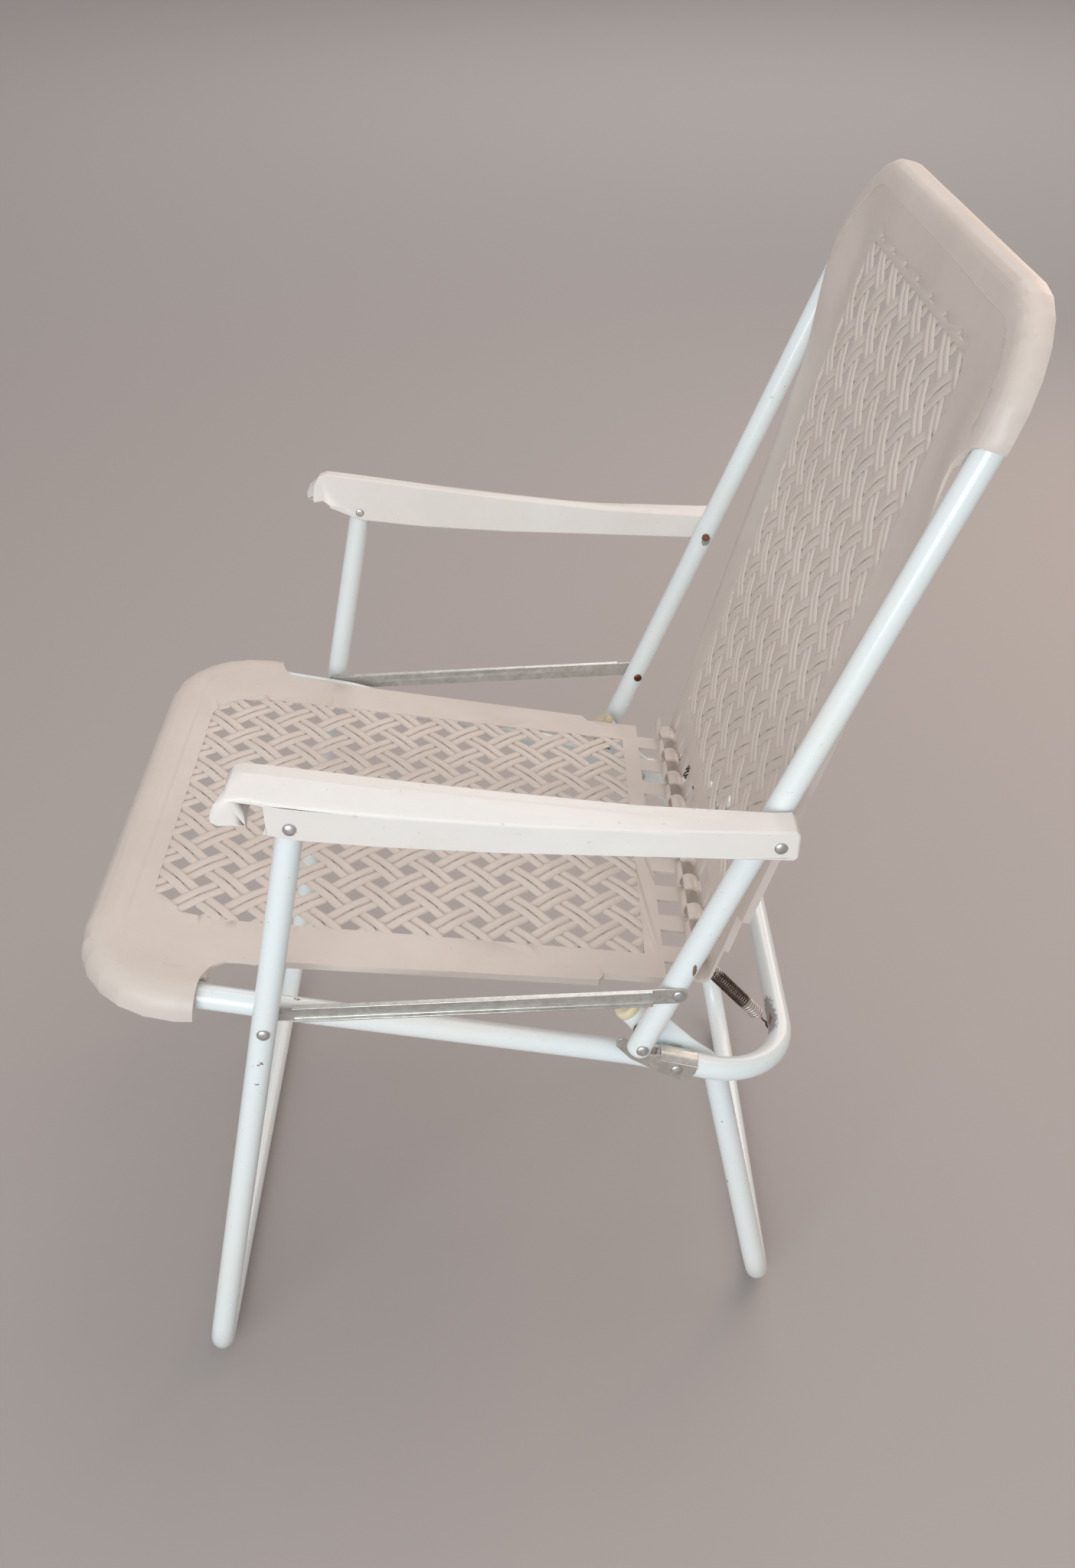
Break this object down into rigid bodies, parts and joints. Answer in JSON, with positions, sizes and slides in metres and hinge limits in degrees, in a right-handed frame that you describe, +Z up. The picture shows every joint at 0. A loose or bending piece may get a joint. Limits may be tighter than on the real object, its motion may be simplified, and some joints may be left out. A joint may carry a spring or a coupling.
{
  "type": "folding armchair",
  "caption": "Folding lawn armchair: white steel tube frame, moulded lattice seat and back panels, channel armrests, coupled fold.",
  "frame": {"origin": "middle of the footprint's bounding box, on the floor", "axes": "+Z up, the sitter faces -X, +Y towards the sitter's right armrest"},
  "size_m": [0.6832, 0.5808, 0.9555],
  "materials": {
    "frame_paint": "gloss, chipped",
    "panel_plastic": "satin, weathered",
    "armrest_plastic": "satin",
    "galvanised_sheet": "galvanised, spotted",
    "rivet_metal": "worn",
    "rusted_metal": "rusted",
    "spring_wire": "dark, rusted",
    "plug_plastic": "matte"
  },
  "bodies": {
    "seat_base": {"seat_frame": "frame_paint", "bracket_right": "galvanised_sheet", "bracket_left": "galvanised_sheet", "rear_leg_rivet_right": "rivet_metal", "rear_leg_rivet_left": "rivet_metal", "rear_leg_washer_right": "galvanised_sheet", "rear_leg_washer_left": "galvanised_sheet", "front_leg_rivet_right": "rivet_metal", "front_leg_rivet_left": "rivet_metal", "front_leg_washer_right": "galvanised_sheet", "front_leg_washer_left": "galvanised_sheet", "spring_right": "spring_wire", "spring_left": "spring_wire"},
    "rear_legs": {"rear_leg_frame": "frame_paint", "leg_plug_right": "plug_plastic", "leg_plug_left": "plug_plastic", "back_lower_spacer_right": "rusted_metal", "back_lower_spacer_left": "rusted_metal"},
    "stay_pair": {"stay_right": "galvanised_sheet", "stay_left": "galvanised_sheet", "stay_rivet_right": "rivet_metal", "stay_rivet_left": "rivet_metal"},
    "back_unit": {"back_frame": "frame_paint", "back_lower_rivet_right": "rivet_metal", "back_lower_rivet_left": "rivet_metal", "armrest_rivet_tail_right": "rusted_metal", "armrest_rivet_tail_left": "rusted_metal"},
    "front_legs": {"front_leg_frame": "frame_paint"},
    "armrest_pair": {"armrest_right": "armrest_plastic", "armrest_left": "armrest_plastic", "armrest_front_rivet_right": "rivet_metal", "armrest_front_rivet_left": "rivet_metal", "armrest_rear_rivet_right": "rivet_metal", "armrest_rear_rivet_left": "rivet_metal"},
    "seat_sheet": {"seat_panel": "panel_plastic"},
    "back_sheet": {"back_panel": "panel_plastic"}
  },
  "joints": [
    {"name": "rear_leg_fold", "type": "hinge", "parent": "seat_base", "child": "rear_legs", "pos_m": [0.12772, 0, 0.33556], "axis": [0, 1, 0], "range_deg": [0, 112]},
    {"name": "stay_fold", "type": "hinge", "parent": "seat_base", "child": "stay_pair", "pos_m": [-0.19488, 0, 0.42326], "axis": [0, 1, 0], "range_deg": [0, 11.1]},
    {"name": "back_fold", "type": "hinge", "parent": "stay_pair", "child": "back_unit", "pos_m": [0.12362, 0, 0.43616], "axis": [0, -1, 0], "range_deg": [0, 101.1]},
    {"name": "front_leg_fold", "type": "hinge", "parent": "seat_base", "child": "front_legs", "pos_m": [-0.19488, 0, 0.42326], "axis": [0, -1, 0], "range_deg": [0, 78.3]},
    {"name": "armrest_fold", "type": "hinge", "parent": "front_legs", "child": "armrest_pair", "pos_m": [-0.15558, 0, 0.61516], "axis": [0, 1, 0], "range_deg": [0, 85.3]},
    {"name": "seat_sheet_fold", "type": "hinge", "parent": "seat_base", "child": "seat_sheet", "pos_m": [-0.32798, 0, 0.44946], "axis": [0, 1, 0], "range_deg": [0, 2.3], "deforming": ["spring_right", "spring_left"]},
    {"name": "back_sheet_fold", "type": "hinge", "parent": "back_unit", "child": "back_sheet", "pos_m": [0.33112, 0, 0.94256], "axis": [0, 1, 0], "range_deg": [0, 1.5]}
  ],
  "couplings": [
    {"joint": "stay_fold", "follows": "rear_leg_fold", "ratio": 0.099107},
    {"joint": "back_fold", "follows": "rear_leg_fold", "ratio": 0.90268},
    {"joint": "front_leg_fold", "follows": "rear_leg_fold", "ratio": 0.69911},
    {"joint": "armrest_fold", "follows": "rear_leg_fold", "ratio": 0.76161},
    {"joint": "seat_sheet_fold", "follows": "rear_leg_fold", "ratio": 0.020535},
    {"joint": "back_sheet_fold", "follows": "rear_leg_fold", "ratio": 0.013392}
  ]
}
